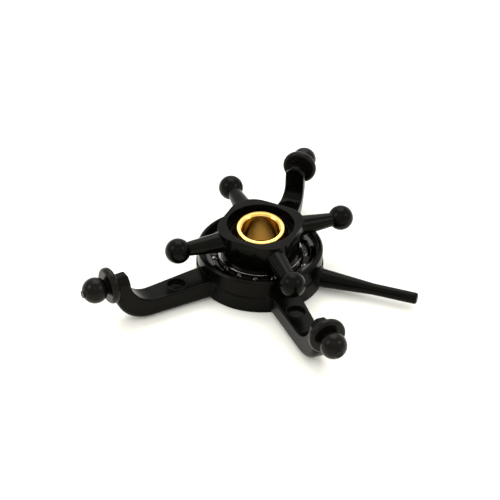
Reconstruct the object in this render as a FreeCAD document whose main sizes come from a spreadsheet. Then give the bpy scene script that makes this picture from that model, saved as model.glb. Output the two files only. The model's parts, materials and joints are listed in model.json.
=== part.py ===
import FreeCAD, Part
import math
import os
import re
import Sketcher

# Swashplate of a model helicopter with a 5 mm main shaft, in millimetres.
# The origin is the centre of the pivot ball, on the shaft axis.
# +Z points up the shaft, +Y along the short elevator arm and +X along the anti-rotation pin.
# The outer ring stays still and the star turns with the rotor on an open ball bearing.

doc = FreeCAD.newDocument("Swashplate")
sheet = doc.addObject("Spreadsheet::Sheet", "Sizes")

DRIVING_SIZES = {
    # pivot ball on the main shaft
    "shaft_dia": 5.0,
    "pivot_dia": 8.0,
    "pivot_width": 5.0,
    "bore_chamfer": 0.15,
    "pivot_lean": 7.0,
    "lean_heading": 288.3,
    "socket_gap": 0.06,
    "seat_lip_height": 1.4,
    # open thin-section bearing, 10 x 15 x 3
    "bearing_bore": 10.0,
    "bearing_dia": 15.0,
    "bearing_width": 3.0,
    "bearing_ball_dia": 1.5875,
    "bearing_ball_count": 14.0,
    "race_shoulder": 0.53,
    "race_gap": 0.05,
    "race_chamfer": 0.15,
    "cage_side_gap": 0.12,
    "cage_pocket_gap": 0.08,
    "cage_foot": 0.5,
    "cage_crown": 0.5,
    # outer ring
    "ring_drop": 0.65,
    "ring_wall": 0.93,
    "ring_floor": 0.9,
    "band_height": 2.2,
    "band_step": 0.15,
    "rim_chamfer": 0.25,
    "rim_gap": 0.15,
    "bearing_depth": 0.8,
    "floor_lip": 0.55,
    # plane of all the link balls, above the pivot centre
    "link_height": 1.15,
    "link_ball_dia": 3.4,
    # arms of the outer ring
    "side_arm_reach": 24.6,
    "elevator_arm_reach": 19.3,
    "side_arm_angle": 140.0,
    "arm_drop": 1.75,
    "arm_floor_gap": 0.25,
    "arm_root_width": 4.0,
    "arm_tip_width": 2.4,
    "arm_lower_round": 0.7,
    "arm_upper_round": 0.2,
    "arm_root_flare": 0.8,
    "arm_outer_bend": 4.7,
    "side_inner_bend": 3.8,
    "elevator_inner_bend": 1.8,
    "lug_thickness": 1.9,
    "lug_rise": 1.15,
    "lug_round": 0.4,
    "lug_slope_foot": 0.6,
    "crown_width": 0.9,
    "crown_round": 0.2,
    "dimple_dia": 2.4,
    "dimple_depth": 0.45,
    "side_dimple_reach": 12.8,
    "elevator_dimple_reach": 12.3,
    # ball studs pressed into the arms
    "stud_shank_dia": 1.5,
    "stud_shank_length": 1.8,
    "stud_neck_dia": 2.0,
    "stud_pip_dia": 1.0,
    "stud_pip_rise": 0.1,
    "collar_dia": 4.8,
    "collar_thickness": 1.1,
    "collar_round": 0.45,
    "collar_setback": 1.5,
    # anti-rotation pin
    "pin_height": 1.5,
    "pin_dia": 1.56,
    "pin_reach": 21.95,
    "pin_straight": 6.0,
    "pin_shoulder_dia": 2.54,
    "pin_root_flare": 0.3,
    "pin_tip_round": 0.35,
    # star
    "star_rest_angle": 39.4,
    "star_arm_count": 4.0,
    "star_reach": 11.6,
    "star_rim_height": 2.83,
    "star_rim_bore": 9.04,
    "flange_width": 10.3,
    "flange_corner": 3.3,
    "flange_thickness": 2.2,
    "hub_dia": 10.6,
    "star_arm_root_dia": 3.0,
    "star_arm_tip_dia": 1.9,
    # retainer screwed into the star's neck
    "retainer_dia": 8.8,
    "retainer_flange_dia": 11.2,
    "retainer_flange": 0.65,
    "retainer_depth": 1.0,
    "retainer_throat": 2.2,
    "retainer_mouth": 8.2,
    "clamp_gap": 0.1,
}

for row, (alias, value) in enumerate(DRIVING_SIZES.items(), start=1):
    sheet.set("A%d" % row, alias)
    sheet.set("B%d" % row, str(value))
    sheet.setAlias("B%d" % row, alias)
doc.recompute()

# Levels and radii that follow from the driving sizes
RING_TOP = "(0 - ring_drop)"
RING_FOOT = "(0 - ring_drop - bearing_depth - bearing_width - ring_floor)"
BEARING_TOP = "(0 - ring_drop - bearing_depth)"
BEARING_FOOT = "(0 - ring_drop - bearing_depth - bearing_width)"
BEARING_MIDDLE = "(0 - ring_drop - bearing_depth - bearing_width / 2)"
PITCH_RADIUS = "((bearing_bore + bearing_dia) / 4)"
BALL_RADIUS = "(bearing_ball_dia / 2)"
GROOVE_RADIUS = "(bearing_ball_dia / 2 + race_gap)"
INNER_SHOULDER = "((bearing_bore + bearing_dia) / 4 - race_shoulder)"
OUTER_SHOULDER = "((bearing_bore + bearing_dia) / 4 + race_shoulder)"
SOCKET_RADIUS = "(pivot_dia / 2 + socket_gap)"
LINK_RADIUS = "(link_ball_dia / 2)"
NECK_END = "(0 - ring_drop - bearing_depth - bearing_width + clamp_gap)"
ARM_TOP = "(0 - ring_drop - arm_drop)"
ARM_FOOT = f"({RING_FOOT} + arm_floor_gap)"
SEAT_RADIUS = "(bearing_dia / 2)"
RING_RADIUS = "(bearing_dia / 2 + ring_wall)"
BAND_RADIUS = "(bearing_dia / 2 + ring_wall + band_step)"
WALL_CORE = "(bearing_dia / 2 + ring_wall / 3)"


def bound(formula):
    """The formula with each size written as a cell of the sheet."""
    def cell(match):
        word = match.group(0)
        return "Sizes." + word if word in DRIVING_SIZES else word
    return re.sub(r"[a-z][a-z_]*", cell, str(formula))


def number(formula):
    """The present value of a formula."""
    return float(sheet.evalExpression(bound(formula)))


def new_body(label):
    body = doc.addObject("PartDesign::Body", label)
    body.Label = label
    return body


def new_sketch(body, name, plane, lift=None):
    """A sketch on one of the body's own planes, raised along its vertical by a formula."""
    sketch = body.newObject("Sketcher::SketchObject", name)
    base = [item for item in body.Origin.OriginFeatures if item.Role == plane][0]
    sketch.AttachmentSupport = [(base, "")]
    sketch.MapMode = "FlatFace"
    if lift is not None:
        axis = "z" if plane == "XY_Plane" else "y"
        sketch.setExpression("AttachmentOffset.Base." + axis, bound(lift))
    return sketch


def pin_point(sketch, edge, end, x, y):
    """Fixes one end of an edge at a place given by two formulas."""
    for kind, formula in (("DistanceX", x), ("DistanceY", y)):
        value = number(formula)
        index = sketch.addConstraint(Sketcher.Constraint(kind, -1, 1, edge, end, value))
        sketch.setExpression("Constraints[%d]" % index, bound(formula))


def draw_outline(sketch, corners):
    """A closed outline. A corner is (x, y), or (x, y, radius, turn) after an arc.

    The turn is "left" for an arc that runs anticlockwise and "right" for a clockwise one.
    """
    places = [FreeCAD.Vector(number(c[0]), number(c[1]), 0) for c in corners]
    ends = []
    for index, corner in enumerate(corners):
        start = places[index - 1]
        finish = places[index]
        if len(corner) == 2:
            edge = sketch.addGeometry(Part.LineSegment(start, finish))
            ends.append((edge, 1, 2))
            continue
        radius = number(corner[2])
        along = finish - start
        rise = math.sqrt(max(radius ** 2 - (along.Length / 2) ** 2, 0.0))
        side = FreeCAD.Vector(-along.y, along.x, 0).normalize()
        turns_left = corner[3] == "left"
        centre = start + along * 0.5 + side * (rise if turns_left else -rise)
        first, last = (start, finish) if turns_left else (finish, start)
        circle = Part.Circle(centre, FreeCAD.Vector(0, 0, 1), radius)
        from_angle = math.atan2(first.y - centre.y, first.x - centre.x)
        to_angle = math.atan2(last.y - centre.y, last.x - centre.x)
        edge = sketch.addGeometry(Part.ArcOfCircle(circle, from_angle, to_angle))
        ends.append((edge, 1, 2) if turns_left else (edge, 2, 1))
    for index, corner in enumerate(corners):
        edge, first, last = ends[index]
        following, next_first, _ = ends[(index + 1) % len(ends)]
        sketch.addConstraint(Sketcher.Constraint("Coincident", edge, last, following, next_first))
        pin_point(sketch, edge, last, corner[0], corner[1])
        if len(corner) > 2:
            item = sketch.addConstraint(Sketcher.Constraint("Radius", edge, number(corner[2])))
            sketch.setExpression("Constraints[%d]" % item, bound(corner[2]))
    return sketch


def turned(body, name, corners, about="V_Axis", lift=None, kind="Revolution"):
    """A solid of revolution, or a turned groove, from a half section on the XZ plane."""
    sketch = draw_outline(new_sketch(body, name + "_section", "XZ_Plane", lift), corners)
    feature = body.newObject("PartDesign::" + kind, name)
    feature.Profile = sketch
    feature.ReferenceAxis = (sketch, [about])
    feature.Angle = 360
    return feature


def turned_part(label, corners, about="V_Axis"):
    body = new_body(label)
    turned(body, label + "_turned", corners, about)
    return body


def pad(body, name, corners, plane, length, lift=None, midplane=False):
    sketch = draw_outline(new_sketch(body, name + "_outline", plane, lift), corners)
    feature = body.newObject("PartDesign::Pad", name)
    feature.Profile = sketch
    feature.Midplane = midplane
    feature.setExpression("Length", bound(length))
    return feature


def place(item, angle=None, height=None, axis=(0, 0, 1)):
    """Turns a finished piece about an axis through the origin and lifts it."""
    if angle is not None:
        item.Placement.Rotation = FreeCAD.Rotation(FreeCAD.Vector(*axis), number(angle))
        item.setExpression("Placement.Rotation.Angle", bound(angle))
    if height is not None:
        item.setExpression("Placement.Base.z", bound(height))


def polar_pattern(body, name, feature, count):
    pattern = body.newObject("PartDesign::PolarPattern", name)
    pattern.Originals = [feature]
    axis = [item for item in body.Origin.OriginFeatures if item.Role == "Z_Axis"][0]
    pattern.Axis = (axis, [""])
    pattern.Angle = 360
    pattern.setExpression("Occurrences", bound(count))
    body.Tip = pattern
    return pattern


def rounded(source, name, radius, chosen):
    """Rounds the edges of a solid that a test picks."""
    doc.recompute()
    amount = number(radius)
    item = doc.addObject("Part::Fillet", name)
    item.Base = source
    edges = enumerate(source.Shape.Edges, start=1)
    item.Edges = [(index, amount, amount) for index, edge in edges if chosen(edge)]
    return item


def fuse(name, pieces):
    item = doc.addObject("Part::MultiFuse", name)
    item.Shapes = pieces
    item.Refine = True
    return item


def cut(name, base, tool):
    item = doc.addObject("Part::Cut", name)
    item.Base = base
    item.Tool = tool
    item.Refine = True
    return item


# Pivot ball: brass, turned, truncated top and bottom, bored for the shaft.
# It rests leaning a little in its seat, as a loose ball does.
FLAT = "(pivot_width / 2)"
FLAT_RADIUS = "(sqrt(pivot_dia ^ 2 - pivot_width ^ 2) / 2)"
SHAFT_RADIUS = "(shaft_dia / 2)"
pivot_ball = turned_part("pivot_ball", [
    (SHAFT_RADIUS, f"0 - {FLAT} + bore_chamfer"),
    (f"{SHAFT_RADIUS} + bore_chamfer", f"0 - {FLAT}"),
    (FLAT_RADIUS, f"0 - {FLAT}"),
    (FLAT_RADIUS, FLAT, "pivot_dia / 2", "left"),
    (f"{SHAFT_RADIUS} + bore_chamfer", FLAT),
    (SHAFT_RADIUS, f"{FLAT} - bore_chamfer"),
])
heading = math.radians(number("lean_heading") + 90)
place(pivot_ball, angle="pivot_lean", axis=(math.cos(heading), math.sin(heading), 0))


# Bearing races: ground steel, grooved for the balls.
def race(label, back, shoulder, turn):
    """A race between its plain back and its grooved shoulder."""
    outward = 1 if turn == "right" else -1
    half_groove = f"sqrt({GROOVE_RADIUS} ^ 2 - ({shoulder} - {PITCH_RADIUS}) ^ 2)"
    corners = [
        (f"{back} + {outward} * race_chamfer", BEARING_FOOT),
        (shoulder, BEARING_FOOT),
        (shoulder, f"{BEARING_MIDDLE} - {half_groove}"),
        (shoulder, f"{BEARING_MIDDLE} + {half_groove}", GROOVE_RADIUS, turn),
        (shoulder, BEARING_TOP),
        (f"{back} + {outward} * race_chamfer", BEARING_TOP),
        (back, f"{BEARING_TOP} - race_chamfer"),
        (back, f"{BEARING_FOOT} + race_chamfer"),
    ]
    return turned_part(label, corners)


inner_race = race("bearing_inner_race", "bearing_bore / 2", INNER_SHOULDER, "right")
outer_race = race("bearing_outer_race", "bearing_dia / 2", OUTER_SHOULDER, "left")

# Cage: a moulded crown whose pockets open upwards and snap round the balls.
POCKET_RADIUS = f"({BALL_RADIUS} + cage_pocket_gap)"
CAGE_FOOT = f"({BEARING_MIDDLE} - {POCKET_RADIUS} - cage_foot)"
CAGE_TOP = f"({BEARING_MIDDLE} + cage_crown)"
cage = turned_part("bearing_cage", [
    (f"{INNER_SHOULDER} + cage_side_gap", CAGE_FOOT),
    (f"{OUTER_SHOULDER} - cage_side_gap", CAGE_FOOT),
    (f"{OUTER_SHOULDER} - cage_side_gap", CAGE_TOP),
    (f"{INNER_SHOULDER} + cage_side_gap", CAGE_TOP),
])
doc.recompute()
pocket = cage.newObject("PartDesign::SubtractiveSphere", "cage_pocket")
pocket.setExpression("Radius", bound(POCKET_RADIUS))
pocket.AttachmentSupport = [(item, "") for item in cage.Origin.OriginFeatures if item.Role == "XY_Plane"]
pocket.MapMode = "FlatFace"
pocket.setExpression("AttachmentOffset.Base.x", bound(PITCH_RADIUS))
pocket.setExpression("AttachmentOffset.Base.z", bound(BEARING_MIDDLE))
polar_pattern(cage, "cage_pockets", pocket, "bearing_ball_count")

bearing_balls = []
for index in range(int(number("bearing_ball_count"))):
    label = "bearing_ball_%02d" % (index + 1)
    ball = doc.addObject("Part::Sphere", label)
    ball.Label = label
    ball.setExpression("Radius", bound(BALL_RADIUS))
    turn = f"(360 deg * {index} / bearing_ball_count)"
    ball.setExpression("Placement.Base.x", bound(f"{PITCH_RADIUS} * cos({turn})"))
    ball.setExpression("Placement.Base.y", bound(f"{PITCH_RADIUS} * sin({turn})"))
    ball.setExpression("Placement.Base.z", bound(BEARING_MIDDLE))
    bearing_balls.append(ball)

# Star: moulded in one with its neck, rim and link balls.
# The flange is a square with round corners that run out into the arms.
star = new_body("star")
CORNER_CENTRE = "(sqrt(2) * (flange_width / 2 - flange_corner))"
CORNER_HALF = "(flange_corner / sqrt(2))"
CORNER_REACH = f"({CORNER_CENTRE} + {CORNER_HALF})"
FLANGE_FOOT = "(star_rim_height - flange_thickness)"
HUB_RADIUS = "(hub_dia / 2)"
pad(star, "star_flange", [
    (CORNER_REACH, f"0 - {CORNER_HALF}"),
    (CORNER_REACH, CORNER_HALF, "flange_corner", "left"),
    (CORNER_HALF, CORNER_REACH),
    (f"0 - {CORNER_HALF}", CORNER_REACH, "flange_corner", "left"),
    (f"0 - {CORNER_REACH}", CORNER_HALF),
    (f"0 - {CORNER_REACH}", f"0 - {CORNER_HALF}", "flange_corner", "left"),
    (f"0 - {CORNER_HALF}", f"0 - {CORNER_REACH}"),
    (CORNER_HALF, f"0 - {CORNER_REACH}", "flange_corner", "left"),
], "XY_Plane", "flange_thickness", lift=FLANGE_FOOT)
turned(star, "star_neck", [
    ("0", NECK_END),
    ("bearing_bore / 2", NECK_END),
    ("bearing_bore / 2", BEARING_TOP),
    (HUB_RADIUS, BEARING_TOP),
    (HUB_RADIUS, f"{FLANGE_FOOT} + flange_thickness / 2"),
    ("0", f"{FLANGE_FOOT} + flange_thickness / 2"),
])

# Arms: one tapered arm with its ball, turned about its own axis and repeated round the shaft.
TIP_RADIUS = "(star_arm_tip_dia / 2)"
star_arm = turned(star, "star_arm", [
    ("star_rim_bore / 2", "0"),
    (f"star_reach + {LINK_RADIUS}", "0"),
    (f"star_reach - sqrt({LINK_RADIUS} ^ 2 - {TIP_RADIUS} ^ 2)", TIP_RADIUS, LINK_RADIUS, "left"),
    ("star_rim_bore / 2", "star_arm_root_dia / 2"),
], about="H_Axis", lift="link_height")
polar_pattern(star, "star_arms", star_arm, "star_arm_count")

# The inside: an open recess, the upper half of the ball seat and the bore for the retainer.
ABOVE = "(star_rim_height + flange_thickness)"
BELOW = f"({NECK_END} - flange_thickness)"
turned(star, "star_socket", [
    ("0", BELOW),
    ("retainer_dia / 2", BELOW),
    ("retainer_dia / 2", "0 - retainer_depth"),
    (SOCKET_RADIUS, "0 - retainer_depth"),
    (SOCKET_RADIUS, "0"),
    (f"sqrt({SOCKET_RADIUS} ^ 2 - seat_lip_height ^ 2)", "seat_lip_height", SOCKET_RADIUS, "left"),
    ("star_rim_bore / 2", "seat_lip_height"),
    ("star_rim_bore / 2", ABOVE),
    ("0", ABOVE),
], kind="Groove")
place(star, angle="star_rest_angle")

# Retainer: screwed up into the neck, it closes the ball seat and clamps the inner race.
RETAINER_TOP = "(0 - retainer_depth)"
retainer = turned_part("ball_retainer", [
    ("retainer_mouth / 2", f"{BEARING_FOOT} - retainer_flange"),
    ("retainer_flange_dia / 2", f"{BEARING_FOOT} - retainer_flange"),
    ("retainer_flange_dia / 2", BEARING_FOOT),
    ("retainer_dia / 2", BEARING_FOOT),
    ("retainer_dia / 2", RETAINER_TOP),
    (f"sqrt({SOCKET_RADIUS} ^ 2 - retainer_depth ^ 2)", RETAINER_TOP),
    (f"sqrt({SOCKET_RADIUS} ^ 2 - retainer_throat ^ 2)", "0 - retainer_throat", SOCKET_RADIUS, "right"),
])

# Outer ring: the wall that carries the bearing, stepped outside, with a lip under the outer race.
ring_wall = turned_part("ring_wall", [
    (f"{SEAT_RADIUS} - floor_lip", RING_FOOT),
    (BAND_RADIUS, RING_FOOT),
    (BAND_RADIUS, f"{RING_FOOT} + band_height"),
    (RING_RADIUS, f"{RING_FOOT} + band_height"),
    (RING_RADIUS, f"{RING_TOP} - rim_chamfer"),
    (f"{RING_RADIUS} - rim_chamfer", RING_TOP),
    (f"{SEAT_RADIUS} + rim_gap + rim_chamfer", RING_TOP),
    (f"{SEAT_RADIUS} + rim_gap", f"{RING_TOP} - rim_chamfer"),
    (f"{SEAT_RADIUS} + rim_gap", BEARING_TOP),
    (SEAT_RADIUS, BEARING_TOP),
    (SEAT_RADIUS, BEARING_FOOT),
    (f"{SEAT_RADIUS} - floor_lip", BEARING_FOOT),
])

# Anti-rotation pin: moulded on the ring, a flared root, a taper and a straight running length.
PIN_RADIUS = "(pin_dia / 2)"
SHOULDER_RADIUS = "(pin_shoulder_dia / 2)"
PIN_LEVEL = f"({RING_FOOT} + pin_height)"
pin = new_body("anti_rotation_pin")
turned(pin, "pin_turned", [
    (WALL_CORE, "0"),
    ("pin_reach", "0"),
    ("pin_reach", f"{PIN_RADIUS} - pin_tip_round"),
    ("pin_reach - pin_tip_round", PIN_RADIUS, "pin_tip_round", "left"),
    ("pin_reach - pin_straight", PIN_RADIUS),
    (f"{BAND_RADIUS} + pin_root_flare", SHOULDER_RADIUS),
    (BAND_RADIUS, f"{SHOULDER_RADIUS} + pin_root_flare", "pin_root_flare", "right"),
    (WALL_CORE, f"{SHOULDER_RADIUS} + pin_root_flare"),
], about="H_Axis")
place(pin, height=PIN_LEVEL)

# Arms of the outer ring: each is the overlap of its side, plan and front views.
# It runs out flat from the wall, bends up in a J and ends in a lug with a narrow crown.
HALF_ROOT = "(arm_root_width / 2)"
HALF_TIP = "(arm_tip_width / 2)"
FLARE_HALF = f"({HALF_ROOT} + arm_root_flare)"
WALL_AT_FLARE = f"sqrt({RING_RADIUS} ^ 2 - {FLARE_HALF} ^ 2)"
LUG_TOP = "(link_height + lug_rise)"


def ring_arm(name, reach, heading, inner_bend, dimple_reach):
    """One arm of the ring, with its lug bored for the ball stud."""
    lug_face = f"({reach} - collar_setback - collar_thickness)"
    lug_back = f"({lug_face} - lug_thickness)"
    side = new_body(name + "_side")
    pad(side, name + "_side_view", [
        (WALL_CORE, ARM_FOOT),
        (f"{lug_face} - arm_outer_bend", ARM_FOOT),
        (lug_face, f"{ARM_FOOT} + arm_outer_bend", "arm_outer_bend", "left"),
        (lug_face, LUG_TOP),
        (f"{lug_back} + lug_round", LUG_TOP),
        (lug_back, f"{LUG_TOP} - lug_round", "lug_round", "left"),
        (lug_back, f"{ARM_TOP} + {inner_bend}"),
        (f"{lug_back} - {inner_bend}", ARM_TOP, inner_bend, "right"),
        (WALL_CORE, ARM_TOP),
    ], "XZ_Plane", "arm_root_width + arm_tip_width", midplane=True)
    plan = new_body(name + "_plan")
    pad(plan, name + "_plan_view", [
        (WALL_CORE, f"0 - {HALF_ROOT}"),
        (lug_face, f"0 - {HALF_TIP}"),
        (lug_face, HALF_TIP),
        (WALL_CORE, HALF_ROOT),
    ], "XY_Plane", f"{LUG_TOP} - {RING_FOOT} + lug_rise", lift=RING_FOOT)
    front = new_body(name + "_front")
    pad(front, name + "_front_view", [
        (HALF_ROOT, RING_FOOT),
        (HALF_ROOT, "link_height - lug_slope_foot"),
        ("crown_width / 2", LUG_TOP),
        ("0 - crown_width / 2", LUG_TOP),
        (f"0 - {HALF_ROOT}", "link_height - lug_slope_foot"),
        (f"0 - {HALF_ROOT}", RING_FOOT),
    ], "YZ_Plane", reach)
    web = new_body(name + "_web")
    pad(web, name + "_web_view", [
        (WALL_CORE, f"0 - {FLARE_HALF}"),
        (WALL_AT_FLARE, f"0 - {FLARE_HALF}"),
        (f"{WALL_AT_FLARE} + arm_root_flare", f"0 - {HALF_ROOT}", "arm_root_flare", "right"),
        (f"{WALL_AT_FLARE} + arm_root_flare", HALF_ROOT),
        (WALL_AT_FLARE, FLARE_HALF, "arm_root_flare", "right"),
        (WALL_CORE, FLARE_HALF),
    ], "XY_Plane", f"{ARM_TOP} - {ARM_FOOT} - arm_lower_round - arm_upper_round",
        lift=f"{ARM_FOOT} + arm_lower_round")
    blank = doc.addObject("Part::MultiCommon", name + "_blank")
    blank.Shapes = [side, plan, front]
    foot = number(ARM_FOOT)
    level = number(ARM_TOP)
    crown = number(LUG_TOP)

    def long_edge(height):
        def chosen(edge):
            box = edge.BoundBox
            flat = abs(box.ZMin - height) < 1e-4 and abs(box.ZMax - height) < 1e-4
            return flat and box.XLength > box.YLength * 4
        return chosen

    lower = rounded(blank, name + "_lower_edges", "arm_lower_round", long_edge(foot))
    upper = rounded(lower, name + "_crown_edges", "crown_round", long_edge(crown))
    lug = rounded(upper, name + "_upper_edges", "arm_upper_round", long_edge(level))

    hole = doc.addObject("Part::Cylinder", name + "_stud_hole")
    hole.setExpression("Radius", bound("stud_shank_dia / 2"))
    hole.setExpression("Height", bound("stud_shank_length"))
    hole.Placement.Rotation = FreeCAD.Rotation(FreeCAD.Vector(0, 1, 0), 90)
    hole.setExpression("Placement.Base.x", bound(f"{lug_face} - stud_shank_length"))
    hole.setExpression("Placement.Base.z", bound("link_height"))

    dimple = doc.addObject("Part::Cylinder", name + "_dimple")
    dimple.setExpression("Radius", bound("dimple_dia / 2"))
    dimple.setExpression("Height", bound("dimple_dia"))
    dimple.setExpression("Placement.Base.x", bound(dimple_reach))
    dimple.setExpression("Placement.Base.z", bound(f"{ARM_TOP} - dimple_depth"))

    webbed = fuse(name + "_webbed", [lug, web])
    drilled = cut(name + "_drilled", webbed, hole)
    arm = cut(name, drilled, dimple)
    place(arm, angle=heading)
    return arm


ELEVATOR_HEADING = "90"
SIDE_ARMS = {
    "left": f"({ELEVATOR_HEADING} + side_arm_angle)",
    "right": f"({ELEVATOR_HEADING} - side_arm_angle)",
}
arms = [ring_arm("elevator_arm", "elevator_arm_reach", ELEVATOR_HEADING,
                 "elevator_inner_bend", "elevator_dimple_reach")]
for side_name, heading in SIDE_ARMS.items():
    arms.append(ring_arm(side_name + "_arm", "side_arm_reach", heading,
                         "side_inner_bend", "side_dimple_reach"))
outer_ring = fuse("outer_ring", [ring_wall, pin] + arms)
outer_ring.Label = "outer_ring"


def ball_stud(label, reach, heading):
    """A ball stud: ball, short neck and round collar on a shank pressed into the lug.

    The end of the ball keeps the small pip that parting off leaves.
    """
    neck = "(stud_neck_dia / 2)"
    pip = "(stud_pip_dia / 2)"
    collar = "(collar_dia / 2)"
    shank = "(stud_shank_dia / 2)"
    face = f"({reach} - collar_setback)"
    seat = f"({face} - collar_thickness)"
    body = new_body(label)
    turned(body, label + "_turned", [
        (f"{seat} - stud_shank_length", "0"),
        (f"{reach} + {LINK_RADIUS} + stud_pip_rise", "0"),
        (f"{reach} + {LINK_RADIUS} + stud_pip_rise", pip),
        (f"{reach} + sqrt({LINK_RADIUS} ^ 2 - {pip} ^ 2)", pip),
        (f"{reach} - sqrt({LINK_RADIUS} ^ 2 - {neck} ^ 2)", neck, LINK_RADIUS, "left"),
        (face, neck),
        (face, f"{collar} - collar_round"),
        (f"{face} - collar_round", collar, "collar_round", "left"),
        (f"{seat} + collar_round", collar),
        (seat, f"{collar} - collar_round", "collar_round", "left"),
        (seat, shank),
        (f"{seat} - stud_shank_length", shank),
    ], about="H_Axis")
    place(body, angle=heading, height="link_height")
    return body


studs = [ball_stud("elevator_ball_stud", "elevator_arm_reach", ELEVATOR_HEADING)]
for side_name, heading in SIDE_ARMS.items():
    studs.append(ball_stud(side_name + "_ball_stud", "side_arm_reach", heading))

doc.recompute()

sub_parts = [outer_ring, outer_race, inner_race, cage, star, retainer, pivot_ball]
sub_parts += studs + bearing_balls

for item in doc.Objects:
    if "Invalid" in item.State or "Error" in item.State:
        raise RuntimeError("%s did not build: %s" % (item.Name, item.State))

os.makedirs("parts", exist_ok=True)
for part in sub_parts:
    shape = part.Shape
    if shape.isNull() or not shape.isValid() or len(shape.Solids) != 1:
        raise RuntimeError("%s is not one sound solid" % part.Label)
    shape.exportStep("parts/%s.step" % part.Label)
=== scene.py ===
import json
import math

import bpy
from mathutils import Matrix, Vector


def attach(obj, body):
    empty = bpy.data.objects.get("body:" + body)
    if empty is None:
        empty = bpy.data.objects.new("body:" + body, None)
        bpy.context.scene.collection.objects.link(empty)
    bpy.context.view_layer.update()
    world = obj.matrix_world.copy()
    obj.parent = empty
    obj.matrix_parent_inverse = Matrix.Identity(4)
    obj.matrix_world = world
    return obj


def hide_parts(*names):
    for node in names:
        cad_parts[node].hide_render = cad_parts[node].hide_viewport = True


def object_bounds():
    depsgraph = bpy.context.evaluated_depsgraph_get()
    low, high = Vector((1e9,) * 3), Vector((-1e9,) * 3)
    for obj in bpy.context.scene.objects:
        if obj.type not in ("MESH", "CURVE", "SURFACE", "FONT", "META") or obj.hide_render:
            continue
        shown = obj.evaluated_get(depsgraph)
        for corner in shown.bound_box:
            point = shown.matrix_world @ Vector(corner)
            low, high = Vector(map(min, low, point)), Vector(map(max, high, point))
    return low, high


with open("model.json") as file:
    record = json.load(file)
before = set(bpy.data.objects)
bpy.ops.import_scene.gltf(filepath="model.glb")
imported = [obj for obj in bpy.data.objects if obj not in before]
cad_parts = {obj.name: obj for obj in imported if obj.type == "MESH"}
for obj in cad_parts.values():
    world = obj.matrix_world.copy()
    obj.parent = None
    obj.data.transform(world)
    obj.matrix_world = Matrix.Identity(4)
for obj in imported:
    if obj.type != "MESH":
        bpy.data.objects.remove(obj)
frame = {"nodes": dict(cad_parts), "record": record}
cad_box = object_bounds()

# Viewpoint: a long lens looks down on the plate from the front and a little to the right,
# low enough to see the side of the still ring and into the bearing.
STANDPOINT = (0.054282, -0.168447, 0.129680)
PITCH, ROLL, HEADING = 53.439, -0.967, 19.017
SENSOR_MM = 36
LENS_MM = 118.12
bpy.ops.object.camera_add(location=STANDPOINT)
viewpoint = bpy.context.active_object
viewpoint.name = "viewpoint"
viewpoint.rotation_euler = (math.radians(PITCH), math.radians(ROLL), math.radians(HEADING))
viewpoint.data.sensor_width = SENSOR_MM
viewpoint.data.lens = LENS_MM
viewpoint.data.clip_start = 0.005
viewpoint.data.clip_end = 10
bpy.context.scene.camera = viewpoint


# Still ring: one black nylon moulding with three J-shaped arms and the anti-rotation pin.
# The nylon is filled with short glass fibres, so its skin is smooth but faintly clouded,
# and the mould's own fine texture softens every highlight.
def new_socket(group, name, kind, direction, value=None):
    item = group.interface.new_socket(name=name, in_out=direction, socket_type="NodeSocket" + kind)
    if value is not None:
        item.default_value = value
    return item


def wire(tree, source, output, target, socket):
    tree.links.new(source.outputs[output], target.inputs[socket])


def noise(tree, vector, scale, detail=2.0, distortion=0.0):
    """Clouds at a scale given in cells for each metre."""
    item = tree.nodes.new("ShaderNodeTexNoise")
    item.inputs["Scale"].default_value = scale
    item.inputs["Detail"].default_value = detail
    item.inputs["Distortion"].default_value = distortion
    tree.links.new(vector, item.inputs["Vector"])
    return item


def spread(tree, source, output, low, high, low_to, high_to):
    """Maps one span of values to another."""
    item = tree.nodes.new("ShaderNodeMapRange")
    item.inputs["From Min"].default_value = low
    item.inputs["From Max"].default_value = high
    item.inputs["To Min"].default_value = low_to
    item.inputs["To Max"].default_value = high_to
    wire(tree, source, output, item, "Value")
    return item


moulded_skin = bpy.data.node_groups.new("moulded_skin", "ShaderNodeTree")
new_socket(moulded_skin, "Colour", "Color", "INPUT", (0.012, 0.012, 0.012, 1))
new_socket(moulded_skin, "Clouded colour", "Color", "INPUT", (0.02, 0.02, 0.019, 1))
new_socket(moulded_skin, "Shine", "Float", "INPUT", 0.38)
new_socket(moulded_skin, "Shine change", "Float", "INPUT", 0.08)
new_socket(moulded_skin, "Texture depth", "Float", "INPUT", 0.35)
new_socket(moulded_skin, "Edge radius", "Float", "INPUT", 0.00015)
new_socket(moulded_skin, "Colour", "Color", "OUTPUT")
new_socket(moulded_skin, "Roughness", "Float", "OUTPUT")
new_socket(moulded_skin, "Normal", "Vector", "OUTPUT")
group_in = moulded_skin.nodes.new("NodeGroupInput")
group_out = moulded_skin.nodes.new("NodeGroupOutput")
place = moulded_skin.nodes.new("ShaderNodeTexCoord")
CLOUDS_PER_METRE = 260
FLOW_PER_METRE = 900
GRAIN_PER_METRE = 5200
GRAIN_HEIGHT = 0.00001
EDGE_SAMPLES = 6
clouds = noise(moulded_skin, place.outputs["Object"], CLOUDS_PER_METRE, 4.0, 0.6)
flow = noise(moulded_skin, place.outputs["Object"], FLOW_PER_METRE, 3.0, 1.4)
grain = noise(moulded_skin, place.outputs["Object"], GRAIN_PER_METRE, 2.0)
cloud_mask = spread(moulded_skin, clouds, "Fac", 0.42, 0.7, 0, 1)
tint = moulded_skin.nodes.new("ShaderNodeMix")
tint.data_type = "RGBA"
moulded_skin.links.new(cloud_mask.outputs["Result"], tint.inputs[0])
moulded_skin.links.new(group_in.outputs["Colour"], tint.inputs[6])
moulded_skin.links.new(group_in.outputs["Clouded colour"], tint.inputs[7])
moulded_skin.links.new(tint.outputs[2], group_out.inputs["Colour"])
flow_centred = spread(moulded_skin, flow, "Fac", 0.3, 0.7, -1, 1)
shine = moulded_skin.nodes.new("ShaderNodeMath")
shine.operation = "MULTIPLY_ADD"
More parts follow.
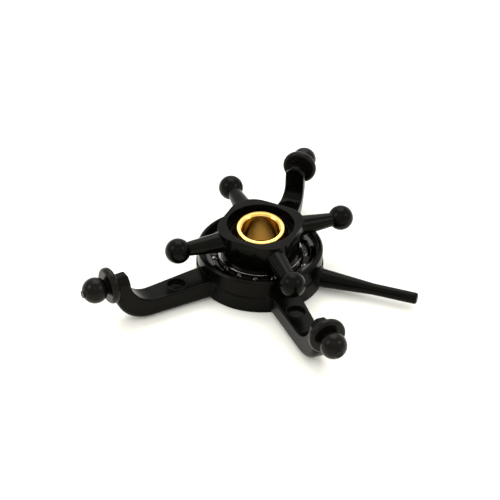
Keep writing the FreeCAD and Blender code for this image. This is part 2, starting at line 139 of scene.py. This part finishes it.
moulded_skin.links.new(flow_centred.outputs["Result"], shine.inputs[0])
moulded_skin.links.new(group_in.outputs["Shine change"], shine.inputs[1])
moulded_skin.links.new(group_in.outputs["Shine"], shine.inputs[2])
moulded_skin.links.new(shine.outputs[0], group_out.inputs["Roughness"])
relief = moulded_skin.nodes.new("ShaderNodeBump")
relief.inputs["Distance"].default_value = GRAIN_HEIGHT
moulded_skin.links.new(grain.outputs["Fac"], relief.inputs["Height"])
soft_edge = moulded_skin.nodes.new("ShaderNodeBevel")
soft_edge.samples = EDGE_SAMPLES
wire(moulded_skin, group_in, "Edge radius", soft_edge, "Radius")
wire(moulded_skin, soft_edge, "Normal", relief, "Normal")
moulded_skin.links.new(group_in.outputs["Texture depth"], relief.inputs["Strength"])
moulded_skin.links.new(relief.outputs["Normal"], group_out.inputs["Normal"])


def moulded(name, colour, clouded, shine_value, change, depth, reflect, edge=0.00015):
    """A plastic or anodised finish with the moulded skin and its edges eased."""
    material = bpy.data.materials.new(name)
    material.use_nodes = True
    tree = material.node_tree
    shader = tree.nodes["Principled BSDF"]
    skin = tree.nodes.new("ShaderNodeGroup")
    skin.node_tree = moulded_skin
    skin.inputs["Colour"].default_value = (*colour, 1)
    skin.inputs["Clouded colour"].default_value = (*clouded, 1)
    skin.inputs["Shine"].default_value = shine_value
    skin.inputs["Shine change"].default_value = change
    skin.inputs["Texture depth"].default_value = depth
    skin.inputs["Edge radius"].default_value = edge
    wire(tree, skin, "Colour", shader, "Base Color")
    wire(tree, skin, "Roughness", shader, "Roughness")
    wire(tree, skin, "Normal", shader, "Normal")
    shader.inputs["Specular IOR Level"].default_value = reflect
    shader.inputs["Specular Tint"].default_value = (1.0, 0.97, 0.86, 1)
    return material


def finish(node, material):
    """Gives a node of the frame its finish."""
    for slot in frame["nodes"][node].material_slots:
        slot.material = material


NYLON_BLACK = (0.0012, 0.0012, 0.0008)
NYLON_CLOUDED = (0.0022, 0.0022, 0.0016)
NYLON_EDGE = 0.0002
black_nylon = moulded("black_nylon", NYLON_BLACK, NYLON_CLOUDED, shine_value=0.22, change=0.05,
                      depth=0.15, reflect=0.07, edge=NYLON_EDGE)
finish("outer_ring", black_nylon)

# Star: the turning half, moulded in the same black nylon with its four link balls.
# It is a little shinier than the ring, because the links rub on it.
star_nylon = moulded("star_nylon", NYLON_BLACK, NYLON_CLOUDED, shine_value=0.19, change=0.04,
                     depth=0.12, reflect=0.08, edge=NYLON_EDGE)
finish("star", star_nylon)

# Ball studs: turned from aluminium, black anodised and pressed into the lugs of the arms.
# The retainer has the same finish. It screws up into the star's neck and closes the seat.
ANODISED_BLACK = (0.003, 0.0026, 0.002)
ANODISED_WORN = (0.005, 0.0044, 0.0035)
ANODISED_EDGE = 0.00006
black_anodised = moulded("black_anodised", ANODISED_BLACK, ANODISED_WORN, shine_value=0.2,
                         change=0.04, depth=0.12, reflect=0.12, edge=ANODISED_EDGE)
for name in ("elevator_ball_stud", "left_ball_stud", "right_ball_stud"):
    finish(name, black_anodised)
finish("ball_retainer", black_anodised)

# Pivot ball: a turned brass ball with flats top and bottom, reamed for the main shaft, with
# a cone turned into each mouth of the bore as a lead-in. The tool leaves fine rings round
# its axis, which leans a little towards the front at rest.
RING_HEIGHT = 0.000003
SMUDGES_PER_METRE = 420
tool_rings = bpy.data.node_groups.new("tool_rings", "ShaderNodeTree")
new_socket(tool_rings, "Vector", "Vector", "INPUT")
new_socket(tool_rings, "Colour", "Color", "INPUT", (0.8, 0.8, 0.8, 1))
new_socket(tool_rings, "Dull colour", "Color", "INPUT", (0.5, 0.5, 0.5, 1))
new_socket(tool_rings, "Polish", "Float", "INPUT", 0.2)
new_socket(tool_rings, "Ring pitch", "Float", "INPUT", 9000.0)
new_socket(tool_rings, "Ring depth", "Float", "INPUT", 0.3)
new_socket(tool_rings, "Edge radius", "Float", "INPUT", 0.00006)
new_socket(tool_rings, "Colour", "Color", "OUTPUT")
new_socket(tool_rings, "Roughness", "Float", "OUTPUT")
new_socket(tool_rings, "Normal", "Vector", "OUTPUT")
rings_in = tool_rings.nodes.new("NodeGroupInput")
rings_out = tool_rings.nodes.new("NodeGroupOutput")
split = tool_rings.nodes.new("ShaderNodeSeparateXYZ")
wire(tool_rings, rings_in, "Vector", split, "Vector")
radius_square = tool_rings.nodes.new("ShaderNodeMath")
radius_square.operation = "MULTIPLY"
wire(tool_rings, split, "X", radius_square, 0)
wire(tool_rings, split, "X", radius_square, 1)
radius_sum = tool_rings.nodes.new("ShaderNodeMath")
radius_sum.operation = "MULTIPLY_ADD"
wire(tool_rings, split, "Y", radius_sum, 0)
wire(tool_rings, split, "Y", radius_sum, 1)
tool_rings.links.new(radius_square.outputs[0], radius_sum.inputs[2])
radius = tool_rings.nodes.new("ShaderNodeMath")
radius.operation = "SQRT"
tool_rings.links.new(radius_sum.outputs[0], radius.inputs[0])
along = tool_rings.nodes.new("ShaderNodeMath")
along.operation = "ADD"
tool_rings.links.new(radius.outputs[0], along.inputs[0])
wire(tool_rings, split, "Z", along, 1)
pitch = tool_rings.nodes.new("ShaderNodeMath")
pitch.operation = "MULTIPLY"
tool_rings.links.new(along.outputs[0], pitch.inputs[0])
wire(tool_rings, rings_in, "Ring pitch", pitch, 1)
marks = tool_rings.nodes.new("ShaderNodeTexNoise")
marks.noise_dimensions = "1D"
marks.inputs["Scale"].default_value = 1.0
marks.inputs["Detail"].default_value = 3.0
tool_rings.links.new(pitch.outputs[0], marks.inputs["W"])
smudge = noise(tool_rings, rings_in.outputs["Vector"], SMUDGES_PER_METRE, 3.0, 0.8)
dull = spread(tool_rings, smudge, "Fac", 0.5, 0.75, 0, 1)
ring_tint = tool_rings.nodes.new("ShaderNodeMix")
ring_tint.data_type = "RGBA"
tool_rings.links.new(dull.outputs["Result"], ring_tint.inputs[0])
tool_rings.links.new(rings_in.outputs["Colour"], ring_tint.inputs[6])
tool_rings.links.new(rings_in.outputs["Dull colour"], ring_tint.inputs[7])
tool_rings.links.new(ring_tint.outputs[2], rings_out.inputs["Colour"])
mark_change = spread(tool_rings, marks, "Fac", 0.3, 0.7, 0.8, 1.25)
polish = tool_rings.nodes.new("ShaderNodeMath")
polish.operation = "MULTIPLY"
tool_rings.links.new(mark_change.outputs["Result"], polish.inputs[0])
wire(tool_rings, rings_in, "Polish", polish, 1)
tool_rings.links.new(polish.outputs[0], rings_out.inputs["Roughness"])
ring_relief = tool_rings.nodes.new("ShaderNodeBump")
ring_relief.inputs["Distance"].default_value = RING_HEIGHT
ground_edge = tool_rings.nodes.new("ShaderNodeBevel")
ground_edge.samples = EDGE_SAMPLES
wire(tool_rings, rings_in, "Edge radius", ground_edge, "Radius")
wire(tool_rings, ground_edge, "Normal", ring_relief, "Normal")
tool_rings.links.new(marks.outputs["Fac"], ring_relief.inputs["Height"])
wire(tool_rings, rings_in, "Ring depth", ring_relief, "Strength")
tool_rings.links.new(ring_relief.outputs["Normal"], rings_out.inputs["Normal"])


def turned_metal(name, colour, dull_colour, polish_value, ring_pitch, depth, edge, turn=(0, 0, 0)):
    """A bare metal with tool marks about the axis that the turn gives."""
    material = bpy.data.materials.new(name)
    material.use_nodes = True
    tree = material.node_tree
    shader = tree.nodes["Principled BSDF"]
    coordinates = tree.nodes.new("ShaderNodeTexCoord")
    mapping = tree.nodes.new("ShaderNodeMapping")
    mapping.vector_type = "POINT"
    mapping.inputs["Rotation"].default_value = turn
    wire(tree, coordinates, "Object", mapping, "Vector")
    rings = tree.nodes.new("ShaderNodeGroup")
    rings.node_tree = tool_rings
    wire(tree, mapping, "Vector", rings, "Vector")
    rings.inputs["Colour"].default_value = (*colour, 1)
    rings.inputs["Dull colour"].default_value = (*dull_colour, 1)
    rings.inputs["Polish"].default_value = polish_value
    rings.inputs["Ring pitch"].default_value = ring_pitch
    rings.inputs["Ring depth"].default_value = depth
    rings.inputs["Edge radius"].default_value = edge
    wire(tree, rings, "Colour", shader, "Base Color")
    wire(tree, rings, "Roughness", shader, "Roughness")
    wire(tree, rings, "Normal", shader, "Normal")
    shader.inputs["Metallic"].default_value = 1.0
    return material


shaft_bore = [m for m in frame["record"]["mounts"] if m["name"] == "shaft_bore"][0]
upright = Vector(shaft_bore["axis"]).rotation_difference(Vector((0, 0, 1))).to_euler()
BRASS = (0.94, 0.6, 0.16)
BRASS_DULL = (0.86, 0.51, 0.12)
BRASS_EDGE = 0.00002
turned_brass = turned_metal("turned_brass", BRASS, BRASS_DULL, polish_value=0.17, ring_pitch=9000,
                            depth=0.25, edge=BRASS_EDGE, turn=upright)

SHAFT_RADIUS = 0.0025
LEAD_IN = 0.00025
BALL_RADIUS = 0.004
HALF_WIDTH = 0.0025
LIP = 0.00005
SEGMENTS = 144
RINGS = 96
CUT_TOLERANCE = 0.0000001
ON_AXIS = 0.00001
flat_radius = math.sqrt(BALL_RADIUS ** 2 - HALF_WIDTH ** 2)


def pick_flats(piece, ways):
    """Leaves selected only the flat faces on the axis that look up or down, as the ways say."""
    bpy.ops.mesh.select_mode(type="FACE")
    bpy.ops.mesh.select_all(action="DESELECT")
    bpy.ops.object.mode_set(mode="OBJECT")
    for face in piece.data.polygons:
        on_axis = math.hypot(face.center.x, face.center.y) < ON_AXIS
        face.select = on_axis and any(face.normal.z * way > 0.99 for way in ways)
    bpy.ops.object.mode_set(mode="EDIT")


bpy.ops.object.select_all(action="DESELECT")
bpy.ops.mesh.primitive_uv_sphere_add(segments=SEGMENTS, ring_count=RINGS, radius=BALL_RADIUS,
                                     location=(0, 0, 0))
brass_ball = bpy.context.active_object
brass_ball.name = "brass_ball"
bpy.ops.object.mode_set(mode="EDIT")
for way in (1, -1):
    bpy.ops.mesh.select_all(action="SELECT")
    bpy.ops.mesh.bisect(plane_co=(0, 0, way * HALF_WIDTH), plane_no=(0, 0, way), use_fill=True,
                        clear_outer=True, threshold=CUT_TOLERANCE)
for way in (1, -1):
    pick_flats(brass_ball, (way,))
    bpy.ops.mesh.bevel(offset=LIP, segments=1, affect="EDGES")
    pick_flats(brass_ball, (way,))
    bpy.ops.mesh.inset(thickness=flat_radius - LIP - SHAFT_RADIUS - LEAD_IN)
    pick_flats(brass_ball, (way,))
    bpy.ops.mesh.inset(thickness=LEAD_IN, depth=-LEAD_IN)
pick_flats(brass_ball, (1, -1))
bpy.ops.mesh.bridge_edge_loops()
bpy.ops.mesh.select_all(action="SELECT")
bpy.ops.mesh.normals_make_consistent(inside=False)
bpy.ops.object.mode_set(mode="OBJECT")
brass_ball.rotation_euler = Vector((0, 0, 1)).rotation_difference(Vector(shaft_bore["axis"])).to_euler()
bpy.ops.object.transform_apply(location=True, rotation=True, scale=True)
bpy.ops.object.shade_smooth_by_angle(angle=math.radians(30))
brass_ball.data.materials.append(turned_brass)
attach(brass_ball, "pivot")
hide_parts("pivot_ball")

# Open bearing: ground steel races, polished steel balls and a brown moulded crown cage.
# The inner race is clamped on the star's neck. Its steel is paler than the outer one's as a
# painted highlight, so that its edge shows as a bright arc. The outer race and the balls are
# painted very dark: painted shade for the dark hub and ring that they reflect.
RACE_RINGS = 12000
# Painted shade: the outer race's steel is darkened to stand in for the dark parts it reflects.
outer_race_steel_painted_shade = turned_metal("outer_race_steel_painted_shade", (0.09, 0.087, 0.082), (0.07, 0.067, 0.064),
                            polish_value=0.07, ring_pitch=RACE_RINGS, depth=0.1, edge=0.00012)
finish("bearing_outer_race", outer_race_steel_painted_shade)
# Painted highlight: the inner race keeps a paler steel so that its top edge shows as a bright arc.
inner_race_steel_painted_highlight = turned_metal("inner_race_steel_painted_highlight", (0.4, 0.385, 0.36), (0.32, 0.305, 0.285),
                          polish_value=0.12, ring_pitch=RACE_RINGS, depth=0.1, edge=0.00014)
finish("bearing_inner_race", inner_race_steel_painted_highlight)
# Painted shade: the balls' steel is darkened to stand in for the black hub that they reflect.
ball_steel_painted_shade = turned_metal("ball_steel_painted_shade", (0.14, 0.137, 0.13), (0.11, 0.107, 0.1),
                              polish_value=0.05, ring_pitch=5000, depth=0.02, edge=0.00001)
for name in frame["nodes"]:
    if name.startswith("bearing_ball_"):
        finish(name, ball_steel_painted_shade)
brown_nylon = moulded("brown_nylon", (0.014, 0.007, 0.0045), (0.02, 0.011, 0.007),
                      shine_value=0.45, change=0.06, depth=0.3, reflect=0.4)
finish("bearing_cage", brown_nylon)

# Table: a white sheet that keeps the plate's soft shadow. The camera and shiny surfaces see
# it white, it throws little light back up at the plate, and it is clear when seen from below.
TABLE_SIZE = 4
TABLE_GAP = 0.00002
PAPER_DULL = (0.15, 0.143, 0.13, 1)
PAPER_WHITE = (1.0, 0.985, 0.9, 1)
floor_level = cad_box[0][2]
bpy.ops.object.select_all(action="DESELECT")
bpy.ops.mesh.primitive_plane_add(size=TABLE_SIZE, location=(0, 0, floor_level - TABLE_GAP))
table = bpy.context.active_object
table.name = "table"
white_sheet = bpy.data.materials.new("white_sheet")
white_sheet.use_nodes = True
sheet_tree = white_sheet.node_tree
sheet_shader = sheet_tree.nodes["Principled BSDF"]
sheet_shader.inputs["Roughness"].default_value = 0.9
sheet_shader.inputs["Specular IOR Level"].default_value = 0.0
ray = sheet_tree.nodes.new("ShaderNodeLightPath")
paper = sheet_tree.nodes.new("ShaderNodeMix")
paper.data_type = "RGBA"
paper.inputs[6].default_value = PAPER_DULL
paper.inputs[7].default_value = PAPER_WHITE
seen = sheet_tree.nodes.new("ShaderNodeMath")
seen.operation = "MAXIMUM"
wire(sheet_tree, ray, "Is Camera Ray", seen, 0)
wire(sheet_tree, ray, "Is Glossy Ray", seen, 1)
sheet_tree.links.new(seen.outputs[0], paper.inputs[0])
sheet_tree.links.new(paper.outputs[2], sheet_shader.inputs["Base Color"])
side = sheet_tree.nodes.new("ShaderNodeNewGeometry")
from_below = sheet_tree.nodes.new("ShaderNodeMath")
from_below.operation = "MULTIPLY"
wire(sheet_tree, ray, "Is Camera Ray", from_below, 0)
wire(sheet_tree, side, "Backfacing", from_below, 1)
clear = sheet_tree.nodes.new("ShaderNodeBsdfTransparent")
one_way = sheet_tree.nodes.new("ShaderNodeMixShader")
sheet_tree.links.new(from_below.outputs[0], one_way.inputs["Fac"])
sheet_tree.links.new(sheet_shader.outputs["BSDF"], one_way.inputs[1])
sheet_tree.links.new(clear.outputs["BSDF"], one_way.inputs[2])
sheet_tree.links.new(one_way.outputs["Shader"], sheet_tree.nodes["Material Output"].inputs["Surface"])
table.data.materials.append(white_sheet)

# Studio: a white room, which lights matt surfaces a little more strongly than it shows in
# shiny ones, a broad softbox above and smaller ones at the left, right and front.
ROOM_LIGHT = 1.2
ROOM_REFLECTED = 1.0
room = bpy.data.worlds.new("white_room")
bpy.context.scene.world = room
room.use_nodes = True
room_tree = room.node_tree
background = room_tree.nodes["Background"]
background.inputs["Color"].default_value = (1, 1, 1, 1)
room_ray = room_tree.nodes.new("ShaderNodeLightPath")
strength = spread(room_tree, room_ray, "Is Glossy Ray", 0, 1, ROOM_LIGHT, ROOM_REFLECTED)
room_tree.links.new(strength.outputs["Result"], background.inputs["Strength"])


def softbox(name, place, size, power):
    """A square soft lamp aimed at the plate."""
    bpy.ops.object.light_add(type="AREA", location=place)
    lamp = bpy.context.active_object
    lamp.name = name
    lamp.data.shape = "SQUARE"
    lamp.data.size = size
    lamp.data.energy = power
    lamp.rotation_euler = Vector(place).to_track_quat("Z", "Y").to_euler()


softbox("softbox_above", (-0.055, 0.17, 0.335), size=0.27, power=0.58)
softbox("softbox_left", (-0.21, -0.145, 0.225), size=0.13, power=0.18)
softbox("softbox_right", (0.25, 0.0, 0.22), size=0.1, power=0.11)
softbox("softbox_front", (0.06, -0.185, 0.27), size=0.1, power=0.03)

bpy.context.scene.view_settings.view_transform = "Standard"
